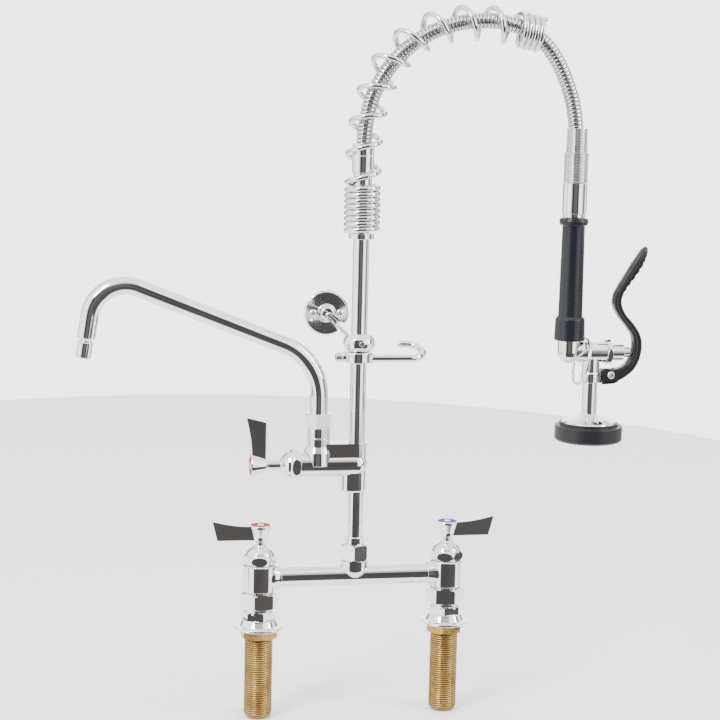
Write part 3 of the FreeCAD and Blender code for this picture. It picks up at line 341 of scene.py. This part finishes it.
def corrugated_hose():
    """Interlocked steel hose: a rounded ridge and a narrow groove, repeated along the route."""
    centres, _ = spline_points("hose_line", HOSE_ROUTE, RIDGE_PITCH / RINGS_PER_RIDGE)
    grooves = []
    for k in range(len(centres)):
        phase = (k % RINGS_PER_RIDGE) / RINGS_PER_RIDGE
        grooves.append(1 - min(1.0, math.sin(math.pi * phase) * RIDGE_FULLNESS))
    radii = [HOSE_R - RIDGE_DEPTH * groove for groove in grooves]
    hose = tube_mesh("corrugated_hose", centres, radii, HOSE_SIDES)
    # how deep each ring lies in a groove, where the hose's colour is darkened as painted shade
    mark_grooves(hose, [groove for groove in grooves for _ in range(HOSE_SIDES)])
    dress(hose, "braided_steel")
    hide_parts("hose")
    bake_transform(hose)


COIL_R, WIRE_R, WIRE_SIDES = 0.0165, 0.0029, 16
CLOSED_PITCH, CLOSED_TURNS, OPEN_TURNS, END_TURNS = 0.006, 8, 9, 4
RINGS_PER_TURN, AXIS_STEP, PITCH_EASE, AIM_STEPS = 40, 0.001, 0.35, 5


def eased_length(turns, start):
    """How far turns lies past start, with its start eased over PITCH_EASE turns either side."""
    x = (turns - start) / PITCH_EASE
    if x <= -1:
        return 0.0
    if x >= 1:
        return turns - start
    return PITCH_EASE * (x + 1) ** 2 / 4


def helix_spring():
    """Closed turns on the seat, open ones over the arch, and closed ones at its end."""
    axis, length = spline_points("spring_line", SPRING_ROUTE, AXIS_STEP)
    step = length / (len(axis) - 1)
    closed, end = CLOSED_PITCH * CLOSED_TURNS, CLOSED_PITCH * END_TURNS
    open_pitch = (length - closed - end) / OPEN_TURNS
    extra = open_pitch - CLOSED_PITCH
    total = CLOSED_TURNS + OPEN_TURNS + END_TURNS
    centres = []
    for i in range(total * RINGS_PER_TURN + 1):
        turns = i / RINGS_PER_TURN
        travel = (CLOSED_PITCH * turns + extra * eased_length(turns, CLOSED_TURNS)
                  - extra * eased_length(turns, CLOSED_TURNS + OPEN_TURNS))
        walked = min(travel, length - 1e-6)
        k = min(int(walked / step), len(axis) - 2)
        here = axis[k].lerp(axis[k + 1], walked / step - k)
        before, after = max(k - AIM_STEPS, 0), min(k + 1 + AIM_STEPS, len(axis) - 1)
        ahead = (axis[after] - axis[before]).normalized()
        outward = Vector((-ahead.z, 0, ahead.x))
        angle = 2 * math.pi * turns
        spoke = math.cos(angle) * outward - math.sin(angle) * Vector((0, 1, 0))
        centres.append(here + COIL_R * spoke)
    spring = tube_mesh("helix_spring", centres, [WIRE_R] * len(centres), WIRE_SIDES)
    dress(spring, "spring_steel")
    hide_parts("hose_spring")
    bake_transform(spring)


# ---- threaded shanks ----------------------------------------------------------------------------
SHANK_SHOULDER, SHANK_NECK_R, SHANK_BORE_R = 0.017, 0.012, 0.009
THREAD_PITCH, THREAD_DEPTH, THREAD_SLOPE = 0.0024, 0.0011, 2.6
THREAD_SIDES, ROWS_PER_PITCH = 64, 8
# the last of these: how dark the shade painted into the thread's grooves gets, from 0 to 1
END_CHAMFER, CHAMFER_HEIGHT, GROOVE_SHADE_SHARE = 0.0012, 0.003, 0.9
BORE_RING_BELOW_TOP, BORE_RING_ABOVE_END = 0.004, 0.012     # extra rings that steady the shading


def threaded_shank(node, name):
    """A brass shank: its outside thread with shade painted in its grooves, the plain neck above it,
    and its open bore.
    """
    low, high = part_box(node)
    axis = Vector(((low.x + high.x) / 2, (low.y + high.y) / 2, 0))
    outer, bore, sides = (high.x - low.x) / 2, SHANK_BORE_R, THREAD_SIDES
    rows = round((SHANK_SHOULDER - low.z) / THREAD_PITCH * ROWS_PER_PITCH)
    vertices, faces, grooves = [], [], []

    def add_point(radius, i, z, groove):
        angle = 2 * math.pi * i / sides
        vertices.append(axis + Vector((radius * math.cos(angle), radius * math.sin(angle), z)))
        grooves.append(groove)

    for k in range(rows + 1):
        z = low.z + (SHANK_SHOULDER - low.z) * k / rows
        fade = min(1.0, (z - low.z) / CHAMFER_HEIGHT, (SHANK_SHOULDER - z) / CHAMFER_HEIGHT)
        for i in range(sides):
            phase = ((z - low.z) / THREAD_PITCH - i / sides) % 1.0
            cut = THREAD_DEPTH * (1 - min(1.0, THREAD_SLOPE * min(phase, 1 - phase)))
            chamfer = END_CHAMFER * (1 - fade)
            add_point(outer - max(cut, chamfer), i, z, GROOVE_SHADE_SHARE * cut / THREAD_DEPTH)
    rest = [(SHANK_NECK_R, SHANK_SHOULDER), (SHANK_NECK_R, high.z), (bore, high.z),
            (bore, high.z - BORE_RING_BELOW_TOP), (bore, low.z + BORE_RING_ABOVE_END),
            (bore, low.z)]
    for radius, z in rest:
        for i in range(sides):
            add_point(radius, i, z, 0.0)
    for k in range(rows + len(rest)):
        for i in range(sides):
            j = (i + 1) % sides
            faces.append((k * sides + i, k * sides + j, (k + 1) * sides + j, (k + 1) * sides + i))
    last = (rows + len(rest)) * sides
    for i in range(sides):
        j = (i + 1) % sides
        faces.append((last + i, last + j, j, i))
    shank = mesh_object(name, vertices, faces)
    mark_grooves(shank, grooves)
    dress(shank, "shank_brass")
    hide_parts(node)
    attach(shank, "deck_frame")


# ---- squeeze lever ------------------------------------------------------------------------------
# pairs across the lever, from its root to its tip: (x, z) of its outer and of its inner side,
# with x from the grip's axis, and half of its width there
LEVER_PAIRS = [
    ((0.0372, 0.2604), (0.0372, 0.2734), 0.0070), ((0.0420, 0.2604), (0.0415, 0.2766), 0.0070),
    ((0.0500, 0.2610), (0.0505, 0.2767), 0.0070), ((0.0565, 0.2637), (0.0558, 0.2778), 0.0070),
    ((0.0645, 0.2683), (0.0610, 0.2798), 0.0070), ((0.0730, 0.2757), (0.0662, 0.2843), 0.0070),
    ((0.0791, 0.2870), (0.0697, 0.2908), 0.0069), ((0.0815, 0.3010), (0.0717, 0.3010), 0.0068),
    ((0.0791, 0.3140), (0.0703, 0.3122), 0.0067), ((0.0714, 0.3258), (0.0632, 0.3226), 0.0067),
    ((0.0624, 0.3355), (0.0537, 0.3343), 0.0068), ((0.0568, 0.3460), (0.0481, 0.3450), 0.0069),
    ((0.0569, 0.3555), (0.0482, 0.3565), 0.0070), ((0.0622, 0.3650), (0.0533, 0.3674), 0.0070),
    ((0.0694, 0.3746), (0.0603, 0.3792), 0.0070), ((0.0761, 0.3844), (0.0670, 0.3906), 0.0070),
    ((0.0811, 0.3944), (0.0735, 0.4004), 0.0068), ((0.0834, 0.4020), (0.0780, 0.4068), 0.0060),
    ((0.0838, 0.4060), (0.0808, 0.4094), 0.0040), ((0.0837, 0.4080), (0.0824, 0.4098), 0.0020)]
# places along the lever are counted in pairs
LUG_CLEAR, FORK_END, FORK_LAP, CHEEK_Y = 0.0037, 2.75, 0.5, 0.0070
SCALLOPS, SCALLOP_DEPTH, SCALLOP_START, SCALLOP_END = 7, 0.0011, 12.4, 17.0
LIMB_SIDES, CORNER_POWER, SIDE_HOLLOW, HOLLOW_WIDTH = 40, 0.5, 0.10, 0.45
SIDE_FACE_SHARE = 0.8                 # past this share of its half width a limb's side face begins
ARM_STATIONS, CHEEK_STATIONS = 190, 30


def smooth_between(values, t):
    """Catmull-Rom value at t, where whole numbers are the given values."""
    k = min(int(t), len(values) - 2)
    u = t - k
    p0, p1 = values[max(k - 1, 0)], values[k]
    p2, p3 = values[k + 1], values[min(k + 2, len(values) - 1)]
    return tuple(0.5 * (2 * b + (c - a) * u + (2 * a - 5 * b + 4 * c - d) * u * u
                        + (3 * b - a - 3 * c + d) * u ** 3) for a, b, c, d in zip(p0, p1, p2, p3))


def lever_limb(bm, start, end, stations, low_y=None, high_y=None):
    """One lofted limb of the lever between two places along it. Its section is a rounded rectangle.
    low_y and high_y limit its width; without them it is hollowed a little along both side faces."""
    flat = [(*outer, *inner, half) for outer, inner, half in LEVER_PAIRS]
    sides, rings = LIMB_SIDES, []
    for k in range(stations + 1):
        t = start + (end - start) * k / stations
        ox, oz, ix, iz, half = smooth_between(flat, t)
        outer, inner = Vector((HEAD_X + ox, 0, oz)), Vector((HEAD_X + ix, 0, iz))
        across = (outer - inner).normalized()
        if SCALLOP_START < t < SCALLOP_END:
            wave = (t - SCALLOP_START) / (SCALLOP_END - SCALLOP_START) * SCALLOPS
            outer -= across * SCALLOP_DEPTH * (1 - abs(math.sin(math.pi * wave)))
        low = -half if low_y is None else low_y
        high = half if high_y is None else high_y
        middle, mid_y = (outer + inner) / 2, (low + high) / 2
        thick, wide = (outer - inner).length / 2, (high - low) / 2
        ring = []
        for i in range(sides):
            angle = 2 * math.pi * (i + 0.5) / sides
            c, sn = math.cos(angle), math.sin(angle)
            a = math.copysign(abs(c) ** CORNER_POWER, c)
            b = math.copysign(abs(sn) ** CORNER_POWER, sn)
            hollow = 0.0
            if low_y is None and abs(b) > SIDE_FACE_SHARE:
                hollow = SIDE_HOLLOW * math.exp(-(a / HOLLOW_WIDTH) ** 2)
            ring.append(bm.verts.new(middle + across * (a * thick)
                                     + Vector((0, mid_y + b * (1 - hollow) * wide, 0))))
        rings.append(ring)
    for ring, following in zip(rings, rings[1:]):
        for i in range(sides):
            j = (i + 1) % sides
            bm.faces.new((ring[i], ring[j], following[j], following[i]))
    bm.faces.new(list(reversed(rings[0])))
    bm.faces.new(rings[-1])


def squeeze_lever():
    """The black lever: two cheeks beside the body's lug, then one arm, scalloped near its tip."""
    bm = bmesh.new()
    last = len(LEVER_PAIRS) - 1
    lever_limb(bm, FORK_END - FORK_LAP, last, ARM_STATIONS)
    for low_y, high_y in ((-CHEEK_Y, -LUG_CLEAR), (LUG_CLEAR, CHEEK_Y)):
        lever_limb(bm, 0, FORK_END, CHEEK_STATIONS, low_y, high_y)
    mesh = bpy.data.meshes.new("lever_arm")
    bm.normal_update()
    bmesh.ops.recalc_face_normals(bm, faces=bm.faces)
    bm.to_mesh(mesh)
    bm.free()
    mesh.shade_smooth()
    lever = bpy.data.objects.new("lever_arm", mesh)
    bpy.context.scene.collection.objects.link(lever)
    dress(lever, "lever_plastic")
    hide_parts("squeeze_lever")
    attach(lever, "lever")


# ---- studio -------------------------------------------------------------------------------------
FLOOR_Z, FLOOR_R, FLOOR_Y, FLOOR_RINGS, FLOOR_SIDES = -0.0975, 1.2, 1.0, 24, 96
STUDIO_BRIGHTNESS = 6.0
STUDIO_FRONT = math.radians(-14)      # the direction that faces the camera, from -Y towards +X
# brightness of the studio round the object: degrees from its front, towards +X if positive. The
# lower walls have a wide dark part in front, and the upper ones a narrower one.
UPPER_SIDES = [
    (-180, 0.63), (-160, 0.63), (-152, 0.10), (-130, 0.10), (-118, 0.40), (-60, 0.55), (-41, 0.50),
    (-37, 0.25), (-29, 0.12), (-25, 0.006), (-15, 0.006), (-13, 0.030), (18, 0.032), (20, 0.017),
    (33, 0.017), (37, 0.5), (66, 0.55), (76, 0.10), (98, 0.05), (108, 0.4), (122, 0.4), (132, 0.08),
    (152, 0.10), (158, 0.63), (180, 0.63)]
LOWER_SIDES = [
    (-180, 0.63), (-160, 0.63), (-152, 0.10), (-118, 0.08), (-108, 0.30), (-92, 0.12), (-78, 0.10),
    (-68, 0.5), (-40, 0.55), (-35, 0.018), (0, 0.018), (60, 0.022), (71, 0.03), (75, 0.5),
    (98, 0.5), (104, 0.02), (118, 0.015), (124, 0.25), (152, 0.10), (158, 0.63), (180, 0.63)]
# heights of the direction, from -1 to 1, where the lower list gives way to the upper one
LOWER_TOP, UPPER_BOTTOM = -0.20, -0.15
DARK_TINT, DARK_BELOW = (1.0, 0.93, 0.88), 0.2      # the dark reflections are a little warm
# how far the sides give way to the plain roof and floor, by height of the direction
HEIGHTS = [(-1.0, 1.0), (-0.82, 1.0), (-0.68, 0.0), (0.42, 0.0), (0.52, 0.5), (0.62, 0.2),
           (0.72, 1.0), (1.0, 1.0)]
ROOF_BRIGHTNESS = 0.42


def add_floor():
    """A round pale floor, of nearly the same brightness as the studio behind it."""
    rings, sides = FLOOR_RINGS, FLOOR_SIDES
    vertices = [(0, FLOOR_Y, FLOOR_Z)]
    for k in range(1, rings + 1):
        for i in range(sides):
            angle = 2 * math.pi * i / sides
            radius = FLOOR_R * k / rings
            vertices.append((radius * math.cos(angle), FLOOR_Y + radius * math.sin(angle), FLOOR_Z))
    faces = [(0, 1 + i, 1 + (i + 1) % sides) for i in range(sides)]
    for k in range(rings - 1):
        for i in range(sides):
            j = (i + 1) % sides
            low, high = 1 + k * sides, 1 + (k + 1) * sides
            faces.append((low + i, high + i, high + j, low + j))
    floor = mesh_object("floor", vertices, faces)
    material, _, _ = new_material("floor_paper", (0.97, 0.97, 0.97), 0.0, 0.85)
    floor.data.materials.append(material)


def ramp_stops(tree, source, stops, low, high):
    """A colour ramp whose stops are (value, brightness), for a source from low to high."""
    place = tree.nodes.new("ShaderNodeMapRange")
    place.inputs["From Min"].default_value = low
    place.inputs["From Max"].default_value = high
    tree.links.new(source, place.inputs["Value"])
    node = tree.nodes.new("ShaderNodeValToRGB")
    elements = node.color_ramp.elements
    for value, _ in stops[1:-1]:
        elements.new((value - low) / (high - low))
    elements[-1].position = 1.0
    for element, (value, brightness) in zip(elements, stops):
        element.position = (value - low) / (high - low)
        warmth = DARK_TINT if brightness < DARK_BELOW else (1, 1, 1)
        element.color = (*(brightness * c for c in warmth), 1)
    tree.links.new(place.outputs["Result"], node.inputs["Fac"])
    return node.outputs["Color"]


def mixed(tree, share, first, second):
    node = tree.nodes.new("ShaderNodeMix")
    node.data_type = "RGBA"
    tree.links.new(share, node.inputs["Factor"])
    tree.links.new(first, node.inputs["A"])
    tree.links.new(second, node.inputs["B"])
    return node.outputs["Result"]


def math_node(tree, operation, *sources):
    node = tree.nodes.new("ShaderNodeMath")
    node.operation = operation
    for socket, source in zip(node.inputs, sources):
        if isinstance(source, (int, float)):
            socket.default_value = source
        else:
            tree.links.new(source, socket)
    return node.outputs["Value"]


def add_studio():
    """A pale studio all round, with dark gaps that give the chrome its bands."""
    world = bpy.data.worlds.new("studio")
    world.use_nodes = True
    tree = world.node_tree
    place = tree.nodes.new("ShaderNodeTexCoord")
    split = tree.nodes.new("ShaderNodeSeparateXYZ")
    tree.links.new(place.outputs["Generated"], split.inputs["Vector"])
    towards_front = math_node(tree, "MULTIPLY", split.outputs["Y"], -1.0)
    around = math_node(tree, "ARCTAN2", split.outputs["X"], towards_front)
    degrees = math_node(tree, "DEGREES", math_node(tree, "SUBTRACT", around, STUDIO_FRONT))
    wrapped = math_node(tree, "WRAP", degrees, 180.0, -180.0)
    upper = ramp_stops(tree, wrapped, UPPER_SIDES, -180, 180)
    lower = ramp_stops(tree, wrapped, LOWER_SIDES, -180, 180)
    height = split.outputs["Z"]
    sides = mixed(tree, ramp(tree, height, 0.0, 1.0, LOWER_TOP, UPPER_BOTTOM), lower, upper)
    give_way = ramp_stops(tree, height, HEIGHTS, -1, 1)
    roof = tree.nodes.new("ShaderNodeRGB")
    roof.outputs["Color"].default_value = (*[ROOF_BRIGHTNESS] * 3, 1)
    background = tree.nodes["Background"]
    background.inputs["Strength"].default_value = STUDIO_BRIGHTNESS
    tree.links.new(mixed(tree, give_way, sides, roof.outputs["Color"]), background.inputs["Color"])
    bpy.context.scene.world = world


def add_area(name, at, target, size, power):
    data = bpy.data.lights.new(name, "AREA")
    data.shape = "RECTANGLE"
    data.size, data.size_y = size
    data.energy = power
    light = bpy.data.objects.new(name, data)
    bpy.context.scene.collection.objects.link(light)
    light.location = at
    light.rotation_euler = (Vector(target) - Vector(at)).to_track_quat("-Z", "Y").to_euler()


def add_lights():
    """A key light on the left and a weaker fill on the right; sizes in metres, power in watts."""
    middle = (0, 0, 0.3)
    add_area("key", at=(-1.5, -1.3, 1.9), target=middle, size=(0.7, 1.2), power=60)
    add_area("fill", at=(1.9, -0.9, 1.2), target=middle, size=(0.5, 1.5), power=25)


dress_cad_nodes()
corrugated_hose()
helix_spring()
threaded_shank("hot_shank", "hot_thread")
threaded_shank("cold_shank", "cold_thread")
squeeze_lever()
add_floor()
add_studio()
add_lights()
